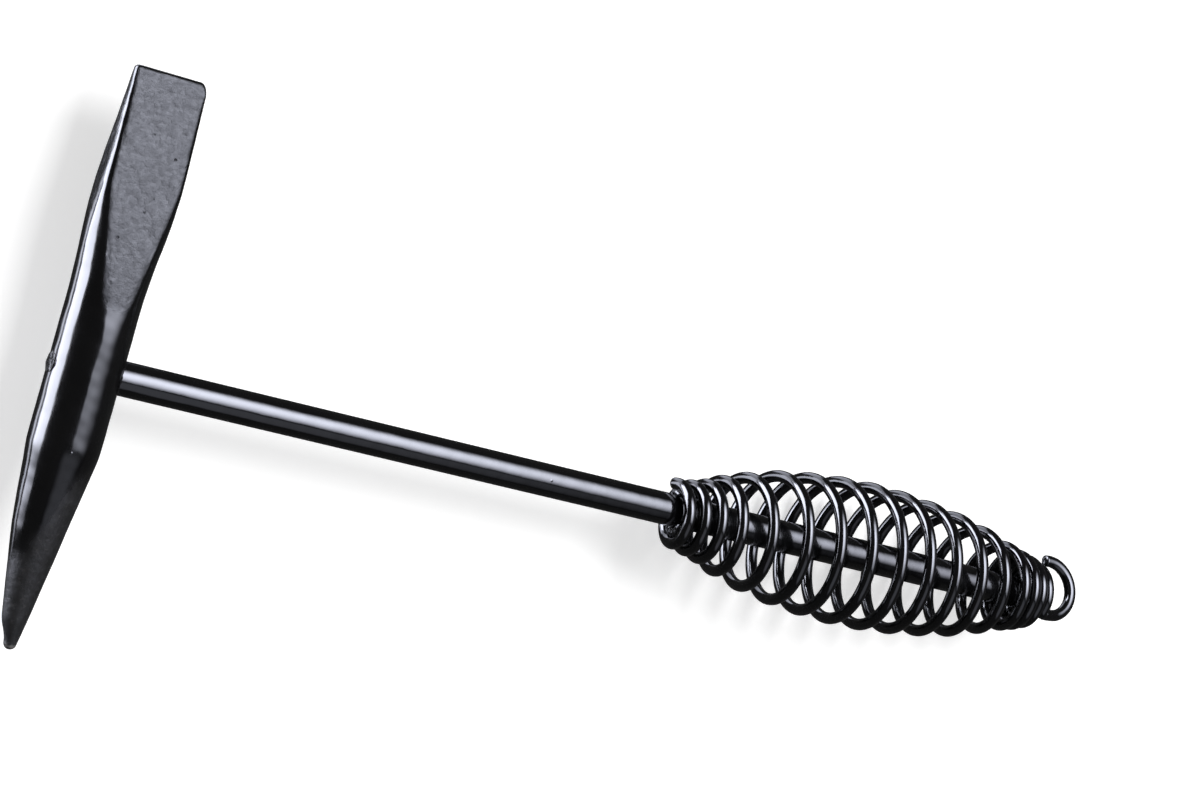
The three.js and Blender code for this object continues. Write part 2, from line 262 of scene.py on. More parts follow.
# %% Gloss paint
PAINT_IOR = 1.52
GLOSS_SHADES = ((0.0025, 0.0025, 0.003), (0.0045, 0.0045, 0.005))
GLOSS_ROUGHNESS = (0.08, 0.12)
WAVE_DEPTH = 0.00010
PEEL_DEPTH = 0.000012
PIMPLE_DEPTH = 0.00006


def gloss_paint():
    """Near-black gloss with orange peel, slow waviness and scarce dust pimples."""
    finish = Finish("gloss_black_paint", (0.012, 0.012, 0.013))
    drift = finish.noise(0.012, detail=3)
    peel = finish.noise(0.0011, detail=2)
    dust = finish.specks(0.0042, 0.10, 0.11)
    shade = finish.colour(drift, *GLOSS_SHADES)
    finish.join(shade, finish.paint.inputs["Base Color"])
    finish.join(finish.ramp(drift, 0.3, 0.7, *GLOSS_ROUGHNESS), finish.paint.inputs["Roughness"])
    waves = finish.bump(finish.noise(0.006, detail=1), WAVE_DEPTH)
    peeled = finish.bump(peel, PEEL_DEPTH, waves)
    finish.join(finish.bump(dust, PIMPLE_DEPTH, peeled), finish.paint.inputs["Normal"])
    finish.paint.inputs["IOR"].default_value = PAINT_IOR
    return finish.material


gloss_finish = gloss_paint()
print("made", gloss_finish.name)

# %% [markdown]
# ## Paint over the forging
#
# The head was hammered and scaled before it was painted. Its round body took the paint smoothly and shines,
# but the drawn-out facets keep the dents of the hammer, so there the paint looks satin and mottled. The
# point is dusty, and the dust starts further down on the side away from the handle. Fields on the mesh say
# where each zone is, and the recipe blends between them. Noise is centred on zero before a zone scales its
# bump, because otherwise the zone's border would stand up as a ridge.

# %% Forged paint
FORGED_SHADES = ((0.003, 0.003, 0.0035), (0.0055, 0.0055, 0.006))
DUST_COLOUR = (0.045, 0.044, 0.043)
WORN_COLOUR = (0.16, 0.155, 0.15)
SMOOTH_ROUGHNESS = (0.12, 0.17)
SATIN_ROUGHNESS = (0.38, 0.5)
BODY_SHINE = 0.42
FACET_SHINE = 0.31
POINT_DULLING = 0.25
FORGED_WAVE_DEPTH = 0.00012
HAMMER_DEPTH = 0.00032
MOTTLE_DEPTH = 0.00017
GRAIN_DEPTH = 0.00004
PIT_DEPTH = 0.00018
FORGED_PIMPLE_DEPTH = 0.00012


def forged_paint():
    """Black paint whose roughness and bumps follow the zones of the forging."""
    finish = Finish("forged_black_paint", (0.014, 0.014, 0.015))
    facet = finish.field("facet")
    flank = finish.field("flank")
    ragged = finish.math("SUBTRACT", finish.noise(0.005, detail=5, stretch=(1, 0.45, 1)), 0.5)
    point = finish.ramp(finish.math("ADD", finish.field("point"), ragged), 0.2, 0.95)
    tip = finish.field("tip")
    drift = finish.noise(0.009, detail=4, roughness=0.6)
    mottle = finish.noise(0.0015, detail=4, roughness=0.6)
    grain = finish.noise(0.0005, detail=3, roughness=0.7)
    hammer = finish.noise(0.0035, detail=2, stretch=(1, 0.6, 1))
    pits = finish.specks(0.0029, 0.2, 0.15)
    dust = finish.specks(0.0024, 0.06, 0.19)
    scale = finish.ramp(finish.noise(0.0013, detail=5, roughness=0.7), 0.5, 0.72)
    shade = finish.colour(drift, *FORGED_SHADES)
    settled = finish.math("MULTIPLY", point, finish.ramp(scale, 0.0, 1.0, 0.25, 0.6))
    dusty = finish.colour(settled, shade, DUST_COLOUR)
    rubbed = finish.math("MULTIPLY", tip, finish.ramp(mottle, 0.4, 0.6))
    finish.join(finish.colour(rubbed, dusty, WORN_COLOUR), finish.paint.inputs["Base Color"])
    smooth = finish.ramp(drift, 0.3, 0.7, *SMOOTH_ROUGHNESS)
    satin = finish.ramp(mottle, 0.3, 0.7, *SATIN_ROUGHNESS)
    sheen = finish.math("MULTIPLY", flank, 0.3)
    rough = finish.math("MAXIMUM", facet, finish.math("MAXIMUM", sheen, point))
    clear = finish.ramp(facet, 0.0, 1.0, BODY_SHINE, FACET_SHINE)
    shine = finish.math("SUBTRACT", clear, finish.math("MULTIPLY", point, POINT_DULLING))
    finish.join(shine, finish.paint.inputs["Specular IOR Level"])
    finish.join(finish.blend(rough, smooth, satin), finish.paint.inputs["Roughness"])
    drawn_out = finish.math("MAXIMUM", facet, flank)
    layers = ((hammer, drawn_out, HAMMER_DEPTH), (mottle, rough, MOTTLE_DEPTH), (grain, rough, GRAIN_DEPTH))
    bumped = finish.bump(finish.noise(0.007, detail=1), FORGED_WAVE_DEPTH)
    for unevenness, zone, depth in layers:
        centred = finish.math("SUBTRACT", unevenness, 0.5)
        bumped = finish.bump(finish.math("MULTIPLY", centred, zone), depth, bumped)
    inward = finish.math("SUBTRACT", 0.0, facet)
    pitted = finish.bump(finish.math("MULTIPLY", pits, inward), PIT_DEPTH, bumped)
    finish.join(finish.bump(dust, FORGED_PIMPLE_DEPTH, pitted), finish.paint.inputs["Normal"])
    finish.paint.inputs["IOR"].default_value = PAINT_IOR
    return finish.material


forged_finish = forged_paint()
print("made", forged_finish.name)

# %% [markdown]
# ## Paint over the welds
#
# A weld bead is lumpy, and the paint pools in its hollows. Its finish is glossy with coarse bumps.

# %% Weld paint
WELD_SHADES = ((0.003, 0.003, 0.0035), (0.006, 0.006, 0.0065))
WELD_ROUGHNESS = (0.16, 0.3)
LUMP_DEPTH = 0.00012
WELD_GRAIN_DEPTH = 0.00002


def weld_paint():
    """Black gloss over small lumps and ripples."""
    finish = Finish("weld_black_paint", (0.012, 0.012, 0.013))
    lumps = finish.noise(0.0012, detail=3)
    grain = finish.noise(0.0004, detail=2)
    shade = finish.colour(lumps, *WELD_SHADES)
    finish.join(shade, finish.paint.inputs["Base Color"])
    finish.join(finish.ramp(grain, 0.3, 0.7, *WELD_ROUGHNESS), finish.paint.inputs["Roughness"])
    lumpy = finish.bump(lumps, LUMP_DEPTH)
    finish.join(finish.bump(grain, WELD_GRAIN_DEPTH, lumpy), finish.paint.inputs["Normal"])
    finish.paint.inputs["IOR"].default_value = PAINT_IOR
    return finish.material


weld_finish = weld_paint()
print("made", weld_finish.name)

# %% [markdown]
# ## The forged head
#
# The head starts as a round bar. One end is drawn to a cone, the other is spread sideways and flattened
# by two broad facets that meet at a blunt edge. Each of these is a simple rule about distance: how far a
# point lies outside the bar, outside a facet, outside the blade's outline. The largest distance is the
# distance to the whole shape, and a soft largest rounds the edges as a hammer would. The cone is a little
# fuller than a straight one on its outer side, where the hammering left it swollen. The surface is found
# along rays that leave a spine inside the bar, so the grid follows the shape from tip to edge.

# %% Sizes of the head
BODY_RADIUS = 8.35
POINT_REACH = 64.8
CHISEL_REACH = 68.2
CONE_START = 18.5
TIP_RADIUS = 1.5
FACET_START = 14
EDGE_THICKNESS = 2.2
FLARE_START = 15
FLARE_END = 47
FLARE_GROWTH = 2
FLARE_FLATTENING = 0.35
BLADE_ROOT = 32
BLADE_HALF_ROOT = 9.6
BLADE_HALF_EDGE = 8.8
BLADE_BOW = 1
POINT_BOW = 0.45
CONE_FULLNESS = 0.55
SWELL_GROWS = (0, 0.45)
SWELL_FADES = (-0.96, -0.84)
NEAR_CORNER = (1.0, 1.0)
FAR_CORNER = (1.7, 3.4)
FACET_EDGE_ROUND = 2
FACET_END_ROUND = 0.9
SHOULDER_ROUND = 0.3
EDGE_SHARE = 0.75
THINNEST_EDGE = 1.6
WIDE_DENTS = (0.035, 9.0)
SMALL_DENTS = (0.02, 4.0)
DENTS_MIDDLE = 3
DENTS_FADE = (-70, -60)
SATIN_EDGE = (0.04, 0.26)
SATIN_SPREAD = 0.4
SATIN_WIDENS = (-30, -18)
FLANK_EDGE = (0.05, 0.4)
GLOSSY_SIDE = 20
GLOSSY_ACROSS = (-3, 5)
WORN_TIP = (2.2, 0.6)
FACET_ZONE = (FACET_START - 1, FACET_START + 3)
POINT_ZONE = (CONE_START - 4, CONE_START + 14)
FACET_SLOPE = (BODY_RADIUS - EDGE_THICKNESS / 2) / (CHISEL_REACH - FACET_START)
CONE_ANGLE = np.arctan((BODY_RADIUS - TIP_RADIUS) / (POINT_REACH - CONE_START))
TIP_MIDDLE = -POINT_REACH + TIP_RADIUS


# %% Rules of the head
def cone_fullness(y):
    """How much the hammered cone swells past a straight one: most along its middle, none at its ends."""
    share = (-y - CONE_START) / (POINT_REACH - CONE_START)
    return CONE_FULLNESS * smooth_step(share, *SWELL_GROWS) * smooth_step(-share, *SWELL_FADES)


def head_bow(y):
    """Sideways offset of the head's axis: the ends bow toward the handle, the cone's middle away from it."""
    blade = BLADE_BOW * smooth_step(y, FLARE_START, CHISEL_REACH)
    return blade + POINT_BOW * smooth_step(-y, CONE_START, POINT_REACH) - cone_fullness(y)


def bar_radius(y):
    """Radius of the bar: a slightly full cone from the tip, then a cylinder, with a soft shoulder."""
    tip_edge = TIP_MIDDLE - TIP_RADIUS * np.sin(CONE_ANGLE)
    along = (y - tip_edge) / (-CONE_START - tip_edge)
    start = TIP_RADIUS * np.cos(CONE_ANGLE)
    cone = start + (BODY_RADIUS - start) * along + cone_fullness(y)
    return -soft_max(-cone, np.full_like(y, -BODY_RADIUS), SHOULDER_ROUND)


def facet_height(y):
    """Half thickness between the two broad facets: it falls evenly to the blunt edge."""
    return BODY_RADIUS - FACET_SLOPE * (y - FACET_START)


def blade_half_width(y):
    """Half width between the two narrow flanks: it narrows evenly toward the edge."""
    share = (y - BLADE_ROOT) / (CHISEL_REACH - BLADE_ROOT)
    return BLADE_HALF_ROOT + (BLADE_HALF_EDGE - BLADE_HALF_ROOT) * share


def bar_spread(y):
    """Half width and half height of the bar where the blade is drawn out: wider, and slightly flatter."""
    spread = smooth_step(y, FLARE_START, FLARE_END)
    radius = bar_radius(y)
    wide = radius * (1 + FLARE_GROWTH / BODY_RADIUS * spread)
    return wide, radius * (1 - FLARE_FLATTENING / BODY_RADIUS * spread)


def outline_distance(x, y):
    """Distance outside the blade's outline: its flanks, its end, and a quarter ellipse at each corner."""
    side = np.abs(x) - blade_half_width(y)
    distance = np.maximum(side, y - CHISEL_REACH)
    for sign, (across, along) in ((-1, NEAR_CORNER), (1, FAR_CORNER)):
        dx = (side + across) / across
        dy = (y - CHISEL_REACH + along) / along
        curved = (np.hypot(dx, dy) - 1) * np.sqrt(across * along)
        distance = np.where((np.sign(x) == sign) & (dx > 0) & (dy > 0), curved, distance)
    return distance


def head_distance(points):
    """How far points lie outside the head, in millimetres, with the forging's slow unevenness added."""
    y, z = points[..., 1], points[..., 2]
    x = points[..., 0] - head_bow(y)
    wide, high = bar_spread(y)
    bar = (np.sqrt((x / wide) ** 2 + (z / high) ** 2) - 1) * high
    tip = np.sqrt(x * x + (y - TIP_MIDDLE) ** 2 + z * z) - TIP_RADIUS
    bar = np.where(y < TIP_MIDDLE - TIP_RADIUS * np.sin(CONE_ANGLE), tip, bar)
    facet = (np.abs(z) - facet_height(y)) * np.cos(np.arctan(FACET_SLOPE))
    outline = outline_distance(x, y)
    rounding = np.minimum(FACET_EDGE_ROUND, EDGE_SHARE * np.clip(facet_height(y), THINNEST_EDGE, None))
    blade = soft_max(facet, outline, rounding)
    whole = soft_max(bar, blade, FACET_END_ROUND)
    dents = WIDE_DENTS[0] * slow_waves(points, WIDE_DENTS[1], 3)
    dents = dents + SMALL_DENTS[0] * slow_waves(points, SMALL_DENTS[1], 5)
    return whole + dents * smooth_step(-np.abs(y - DENTS_MIDDLE), *DENTS_FADE)


# %% Rays from the spine find the head's surface
HEAD_ALONG = 300
HEAD_CAP = 26
HEAD_AROUND = 264
EDGE_CAP = 2.6
POLE_GAP = 0.01
CORNER_CROWDING = 0.12
RAY_LIMIT = 2.0
HALVINGS = 26


def head_rays():
    """Starts and directions of the rays: square to the spine along the bar, fanned out over both ends."""
    lean = np.linspace(-np.pi / 2, 0, HEAD_CAP, endpoint=False) + POLE_GAP
    spine = np.linspace(TIP_MIDDLE, CHISEL_REACH - EDGE_CAP, HEAD_ALONG)
    y = np.concatenate([np.full(HEAD_CAP, TIP_MIDDLE), spine, np.full(HEAD_CAP, CHISEL_REACH - EDGE_CAP)])
    tilt = np.concatenate([lean, np.zeros(HEAD_ALONG), -lean[::-1]])[:, None]
    turn = np.linspace(0, 2 * np.pi, HEAD_AROUND, endpoint=False)
    turn = turn + CORNER_CROWDING * np.sin(4 * turn)
    wide, high = bar_spread(y)
    wide = np.minimum(wide, blade_half_width(y))[:, None]
    high = np.minimum(high, facet_height(y))[:, None]
    reach = np.where(y > 0, EDGE_CAP, TIP_RADIUS)[:, None]
    starts = np.stack([head_bow(y), y, np.zeros_like(y)], axis=-1)[:, None, :]
    across = wide * np.cos(turn) * np.cos(tilt)
    up = high * np.sin(turn) * np.cos(tilt)
    return starts, np.stack([across, reach * np.sin(tilt) + 0 * across, up], axis=-1)


def head_surface():
    """Halves a bracket on every ray at once until it closes on the surface."""
    starts, ways = head_rays()
    low = np.zeros(ways.shape[:2])
    high = np.full(ways.shape[:2], RAY_LIMIT)
    for _ in range(HALVINGS):
        middle = (low + high) / 2
        inside = head_distance(starts + middle[..., None] * ways) < 0
        low = np.where(inside, middle, low)
        high = np.where(inside, high, middle)
    return starts + low[..., None] * ways


def head_zones(points):
    """Fields from 0 to 1 for the finish: on a broad facet, on a flank, on the point, at its very tip."""
    y, z = points[..., 1], points[..., 2]
    x = points[..., 0] - head_bow(y)
    facet = np.abs(np.abs(z) - facet_height(y))
    flank = np.abs(np.abs(x) - blade_half_width(y))
    wide, _ = bar_spread(y)
    drawn = wide > blade_half_width(y)
    reach = SATIN_EDGE[1] + SATIN_SPREAD * smooth_step(-y, *SATIN_WIDENS)
    glossy_side = GLOSSY_SIDE * smooth_step(-x, *GLOSSY_ACROSS)
    return {
        "facet": (1 - smooth_step(facet, SATIN_EDGE[0], reach)) * smooth_step(y, *FACET_ZONE),
        "flank": (1 - smooth_step(flank, *FLANK_EDGE)) * drawn,
        "point": smooth_step(-y - glossy_side, *POINT_ZONE),
        "tip": smooth_step(-y, POINT_REACH - WORN_TIP[0], POINT_REACH - WORN_TIP[1]),
    }


head_rings = head_surface()
zones = head_zones(head_rings)
ring_mesh("forged_head", head_rings, "chipping_head", forged_finish, zones)

# %% [markdown]
# ## The handle rod
#
# The rod is a plain turned bar, so its outline is carried round the X axis. The end that passes through the
# head is turned down to a tenon, and the free end has a small chamfer.

# %% Outlines carried round the X axis
TENON_RADIUS = 2.5
SOCKET_DEPTH = 2
ROD_CHAMFER = 0.5
END_RING = 0.4
CORNER_GAP = 0.2


def revolve(along, radius, around):
    """Rings round the X axis: at each distance along it, a circle of that radius."""
    turn = np.linspace(0, 2 * np.pi, around, endpoint=False)
    along = np.asarray(along, dtype=float)[:, None] + 0 * turn
    radius = np.asarray(radius, dtype=float)[:, None]
    return np.stack([along, radius * np.cos(turn), radius * np.sin(turn)], axis=-1)


def handle_rod():
    """Tenon, shoulder, long straight bar and chamfered end, with rings close together at every corner."""
    tenon_end = rod_low[0] - crossing[0]
    end = ROD_END
    half_gap = CORNER_GAP / 2
    straight = np.linspace(SOCKET_DEPTH + 2 * CORNER_GAP, end - ROD_CHAMFER - CORNER_GAP, 260)
    along = [tenon_end, tenon_end, SOCKET_DEPTH, SOCKET_DEPTH, SOCKET_DEPTH, *straight, end - ROD_CHAMFER]
    radius = [END_RING, TENON_RADIUS, TENON_RADIUS, rod_radius - CORNER_GAP, rod_radius]
    radius += [*(rod_radius + 0 * straight), rod_radius]
    along += [end - half_gap, end, end]
    radius += [rod_radius - ROD_CHAMFER + half_gap, rod_radius - ROD_CHAMFER, END_RING]
    return revolve(along, radius, 96)


ring_mesh("steel_rod", handle_rod(), "handle_rod", gloss_finish)

# %% [markdown]
# ## The wire grip
#
# One wire makes the whole grip: a few tight turns, an open barrel, tight turns again, and a loop to hang the
# hammer by. Its centreline is a helix whose radius follows the barrel's outline and whose pitch opens and
# closes, then an arc for the loop. A circle is carried along the centreline, and each end is cut square with
# a small lip where the cutter left it.

# %% Sizes of the wire
WIRE_RADIUS = 1.5
FRONT_RISE = -0.7
REAR_RISE = 0.5
GRIP_START = ROD_END - 111.4
START_ANGLE = -18
END_ANGLE = 124
TURNS = 16 + (END_ANGLE - START_ANGLE) / 360
FRONT_PITCH = 4.17
OPEN_PITCH = 9.08
REAR_PITCH = 3.05
FRONT_TURNS = 2.45
FRONT_BLEND = 2
REAR_TURNS = 2.3
REAR_BLEND = 1.6
STEPS_PER_TURN = 144
BARREL = np.array([
    [0, 7.37], [2.2, 7.3], [10.2, 9.3], [15.2, 11.4], [32.2, 15.5],
    [57.2, 17.3], [84.2, 14.8], [104.2, 9.7], [108.7, 8.6], [114.7, 6.3],
])
LOOP_RADIUS = 7.3
LOOP_RISE = 3.2
LOOP_SIDE = 1.9
LOOP_OFFSET = 2.9
LOOP_TILT = 23
LOOP_FROM = -72
LOOP_TO = 102
LINE_STEP = 0.5
WIRE_SIDES = 32
CUT_RIM = np.array([[0.0, 0.45], [-0.10, 0.7], [0.0, 0.86], [0.09, 0.95], [0.24, 1.0]])
CUT_STEP = 0.05


# %% The centreline
def smooth_curve(points, fine):
    """A Catmull-Rom curve through points, with fine steps in each span."""
    before = np.vstack([2 * points[:1] - points[1:2], points, 2 * points[-1:] - points[-2:-1]])
    p0, p1, p2, p3 = (before[k:len(before) - 3 + k][:, None, :] for k in range(4))
    t = np.linspace(0, 1, fine, endpoint=False)[None, :, None]
    curve = 2 * p1 + (p2 - p0) * t + (2 * p0 - 5 * p1 + 4 * p2 - p3) * t**2
    curve = curve + (3 * p1 - p0 - 3 * p2 + p3) * t**3
    return np.vstack([curve.reshape(-1, points.shape[1]) / 2, points[-1:]])


def pitch_at(turn):
    """Advance per turn: close at the front, open along the barrel, tight at the rear."""
    opening = smooth_step(turn, FRONT_TURNS, FRONT_TURNS + FRONT_BLEND)
    front = FRONT_PITCH + (OPEN_PITCH - FRONT_PITCH) * opening
    last = TURNS - REAR_TURNS
    return front + (REAR_PITCH - front) * smooth_step(turn, last - REAR_BLEND, last)


def coil_line(steps_per_turn):
    """The helix: its angle starts at +Y and turns toward +Z, and its advance is the summed pitch."""
    turn = np.linspace(0, TURNS, int(TURNS * steps_per_turn) + 1)
    step = turn[1] - turn[0]
    advance = np.concatenate([[0], np.cumsum(pitch_at(turn[:-1] + step / 2)) * step])
    outline = smooth_curve(BARREL, 24)
    radius = np.interp(advance, outline[:, 0], outline[:, 1])
    rise = FRONT_RISE + (REAR_RISE - FRONT_RISE) * advance / BARREL[-1, 0]
    angle = np.radians(START_ANGLE) + 2 * np.pi * turn
    return np.stack([GRIP_START + advance, rise + radius * np.cos(angle), radius * np.sin(angle)], axis=-1)


def loop_line(end):
    """The hang loop: a ring tilted about the X axis, behind the last turn."""
    angle = np.radians(np.linspace(LOOP_FROM, LOOP_TO, 60))
    tilt = np.radians(LOOP_TILT)
    up = LOOP_RADIUS * np.sin(angle)
    x = end[0] + LOOP_OFFSET + LOOP_RADIUS * np.cos(angle)
    return np.stack([x, LOOP_RISE + up * np.cos(tilt), LOOP_SIDE - up * np.sin(tilt)], axis=-1)


def even_line(points, gap):
    """The same line with points an even gap apart, eased over a few points so that no bend is abrupt."""
    length = np.concatenate([[0], np.cumsum(np.linalg.norm(np.diff(points, axis=0), axis=1))])
    even = np.linspace(0, length[-1], int(length[-1] / gap) + 1)
    line = np.stack([np.interp(even, length, points[:, k]) for k in range(3)], axis=-1)
    weights = np.hanning(9)[1:-1]
    weights /= weights.sum()
    reach = len(weights) // 2
    padded = np.pad(line, ((reach, reach), (0, 0)), mode="reflect", reflect_type="odd")
    return np.stack([np.convolve(padded[:, k], weights, mode="valid") for k in range(3)], axis=-1)


def grip_line():
    """Coil and loop as one line: a Catmull-Rom bend carries the end of the coil into the loop."""
    coil = coil_line(STEPS_PER_TURN)
    loop = loop_line(coil[-1])
    bend = smooth_curve(np.vstack([coil[-7:-1:5], coil[-1:], loop[:1], loop[5:6]]), 24)
    first = np.argmin(np.linalg.norm(bend - coil[-1], axis=1))
    last = np.argmin(np.linalg.norm(bend - loop[0], axis=1))
    return even_line(np.vstack([coil[:-1], bend[first:last], loop]), LINE_STEP)


# %% A circle carried along a line
def carried_frames(line):
    """Two directions square to the line at every point, turned as little as possible along it."""
    ahead = np.gradient(line, axis=0)
    ahead /= np.linalg.norm(ahead, axis=1, keepdims=True)
    side = np.zeros_like(ahead)
    side[0] = np.cross(ahead[0], (1.0, 0.0, 0.0))
    side[0] /= np.linalg.norm(side[0])
    for k in range(1, len(line)):
        side[k] = side[k - 1] - ahead[k] * (side[k - 1] @ ahead[k])
        side[k] /= np.linalg.norm(side[k])
    return ahead, side, np.cross(ahead, side)


def carried_circle(line, radius, around):
    """Rings square to a line: at each point, a circle of that radius."""
    _, side, up = carried_frames(line)
    turn = np.linspace(0, 2 * np.pi, around, endpoint=False)
    radius = np.broadcast_to(np.asarray(radius, dtype=float), len(line))[:, None, None]
    ring = side[:, None, :] * np.cos(turn)[None, :, None] + up[:, None, :] * np.sin(turn)[None, :, None]
    return line[:, None, :] + radius * ring


def cut_wire(line, radius, around):
    """A wire with square cut ends: a rounded rim, then a face that is slightly hollow.

    The rim's rings double back on themselves, so their directions come from a path with small even steps,
    and each ring is then moved to its own place.
    """
    ahead, _, _ = carried_frames(line)
    starts = line[0] + ahead[0] * CUT_RIM[:, :1]
    ends = line[-1] - ahead[-1] * CUT_RIM[::-1, :1]
    body = line[1:-1]
    whole = np.vstack([starts, body, ends])
    sizes = np.concatenate([CUT_RIM[:, 1], np.ones(len(body)), CUT_RIM[::-1, 1]]) * radius
    fine = np.arange(len(CUT_RIM))[:, None] * CUT_STEP
    path = np.vstack([line[0] + ahead[0] * fine, body, line[-1] - ahead[-1] * fine[::-1]])
    rings = carried_circle(path, sizes, around)
    middle = rings.mean(axis=1, keepdims=True)
    return rings - middle + whole[:, None, :]


wire_line = grip_line()
wire_length = np.linalg.norm(np.diff(wire_line, axis=0), axis=1).sum()
print("wire length", round(float(wire_length)), "mm")
grip_rings = cut_wire(wire_line, WIRE_RADIUS, WIRE_SIDES)
ring_mesh("wire_grip", grip_rings, "spring_grip", gloss_finish)

# %% [markdown]
# ## The welds
#
# Five welds hold the tool together. Each is a smooth base shape with lumps added along its skin: a low plug
# over the tenon, a thin ring where the rod enters the head, a small tack under the wire's cut start, a fat
# bead below the rod where the first turn passes it, and a puddle behind the rod's end.

# %% Plug and ring at the head
PLUG_RADIUS = 2.4
PLUG_CROWN = 0.15
PLUG_DEPTH = 0.9
PLUG_LUMPS = 0.07
FILLET_LEG = 0.9
FILLET_LUMPS = 0.16
FILLET_SEAT = 0.15
FILLET_DEPTH = 0.8
FILLET_SINK = 0.2


def plug_weld():
    """A low dome on the far side of the head: its height falls with the square of the radius."""
    share = np.array([0.03, 0.2, 0.4, 0.6, 0.75, 0.88, 0.96, 1.0, 1.02])
    crown = -BODY_RADIUS - PLUG_CROWN * (1 - share**2)
    along = np.concatenate([crown, [-BODY_RADIUS + PLUG_DEPTH, -BODY_RADIUS + PLUG_DEPTH]])
    radius = np.concatenate([share, [1.0, 0.03]]) * PLUG_RADIUS
    rings = revolve(along, radius, 72)
    rings[..., 0] += PLUG_LUMPS * slow_waves(rings, 1.6, 11)
    return rings


def fillet_weld():
    """A hollow-sided ring round the rod, saddled onto the round body and uneven along its edge."""
    turn = np.linspace(0, 2 * np.pi, 160, endpoint=False)
    bend = np.linspace(0, np.pi / 2, 9)
    lumps = 1 + FILLET_LUMPS * (np.sin(9 * turn + 0.8 * np.sin(2 * turn)) + 0.5 * np.sin(23 * turn))
    leg = FILLET_LEG * lumps[None, :]
    radius = rod_radius - FILLET_SEAT + leg * (1 - np.cos(bend))[:, None]
    along = BODY_RADIUS - FILLET_SINK + leg * (1 - np.sin(bend))[:, None]
    radius = np.vstack([radius, radius[-1:], 0 * radius[:1] + rod_radius - FILLET_SEAT])
    along = np.vstack([along, along[-1:] - FILLET_DEPTH, along[-1:] - FILLET_DEPTH])
    z = radius * np.sin(turn)
    saddle = BODY_RADIUS - np.sqrt(BODY_RADIUS**2 - z**2)
    return np.stack([along - saddle, radius * np.cos(turn), z], axis=-1)


ring_mesh("plug_weld", plug_weld(), "front_plug_weld", weld_finish)
ring_mesh("fillet_weld", fillet_weld(), "head_fillet_weld", weld_finish)

# %% Beads and puddle at the grip
TACK_RADIUS = 0.72
TACK_SPAN = (-15, 30)
BEAD_RADIUS = 1.3
BEAD_SPAN = (115, 235)
BEAD_SETTLE = 0.85
BEAD_STEP = 2.5
RIPPLE_RATE = 2.4
RIPPLE_SHARE = 0.05
BEAD_WAVES = (0.06, 3.0)
BEAD_LUMPS = (0.05, 1.2)
PUDDLE_SPREAD = 0.7
PUDDLE_CROWN = 1.8
PUDDLE_DEPTH = 0.3
PUDDLE_LUMPS = 0.10


def bead_line(size, span):
    """A line in the corner between the rod and the front of the first turn, over a span of angles."""
    coil = coil_line(STEPS_PER_TURN)
    turn = np.arange(span[0], span[1], BEAD_STEP)
    wire = coil[np.round((turn - START_ANGLE) / 360 * STEPS_PER_TURN).astype(int)]
    angle = np.arctan2(wire[:, 2], wire[:, 1])
    reach = rod_radius + size * BEAD_SETTLE
    outward = np.hypot(wire[:, 1], wire[:, 2]) - reach
    forward = np.sqrt(np.clip((WIRE_RADIUS + size * BEAD_SETTLE) ** 2 - outward**2, 0, None))
    return np.stack([wire[:, 0] - forward, reach * np.cos(angle), reach * np.sin(angle)], axis=-1)


def bead_weld(size, span, seed):
    """A lumpy bead with round ends and the scalloped ripples that a welding rod leaves."""
    line = bead_line(size, span)
    share = np.linspace(0, 1, len(line))
    length = np.linalg.norm(np.diff(line, axis=0), axis=1).sum()
    ripple = 1 + RIPPLE_SHARE * np.abs(np.sin(share * length * RIPPLE_RATE))
    ripple = ripple + BEAD_WAVES[0] * slow_waves(line, BEAD_WAVES[1], seed)
    round_ends = np.sqrt(np.clip(1 - (2 * share - 1) ** 6, 0.01, None))
    rings = carried_circle(line, size * ripple * round_ends, 36)
    return rings + BEAD_LUMPS[0] * slow_waves(rings, BEAD_LUMPS[1], seed + 1)[..., None]


def puddle_weld():
    """A low dome behind the rod's end that spreads toward the last turn."""
    bend = np.linspace(np.pi / 2 - 0.02, 0, 12)
    radius = np.concatenate([(rod_radius + PUDDLE_SPREAD) * np.cos(bend), [rod_radius + 0.6, 0.1]])
    under = ROD_END - PUDDLE_DEPTH
    along = np.concatenate([ROD_END + PUDDLE_CROWN * np.sin(bend), [under, under]])
    rings = revolve(along, radius, 64)
    rings[..., 0] += PUDDLE_LUMPS * slow_waves(rings, 2.0, 31)
    return rings


ring_mesh("tack_weld", bead_weld(TACK_RADIUS, TACK_SPAN, 41), "start_tack_weld", weld_finish)
ring_mesh("bead_weld", bead_weld(BEAD_RADIUS, BEAD_SPAN, 21), "front_grip_weld", weld_finish)
ring_mesh("puddle_weld", puddle_weld(), "rear_grip_weld", weld_finish)

# %% [markdown]
# ## Studio
#
# Gloss black shows its surroundings more than itself, so the light is laid out for reflections. A tall soft
# panel stands in front, a little above and to the right, with a faint one below it. Another stands far to
# the left and draws the long edge light, with a narrow strip further round. A weak one stands behind. They
# show in reflections only. Reflections also see a dim room in place of the white floor and world. A plain
# soft lamp lights the surfaces themselves and lays the shadow on the floor.

# %% Camera
CAMERA_SPOT = (-262.0, 67.3, 688.5)
CAMERA_TARGET = (128.1, 21.8, 0.0)
CAMERA_UP = (-0.2157, 0.9587, -0.1855)
LENS = 99
SENSOR = 36


def aim(thing, spot, target, up):
    """Stands a camera or a panel at spot, facing target, with up toward the top of its picture."""
    back = np.asarray(spot, float) - np.asarray(target, float)
    back /= np.linalg.norm(back)
    right = np.cross(up, back)
    right /= np.linalg.norm(right)
    columns = np.stack([right, np.cross(back, right), back, to_frame(spot)], axis=1)
    thing.matrix_world = Matrix(np.vstack([columns, [0, 0, 0, 1]]).tolist())


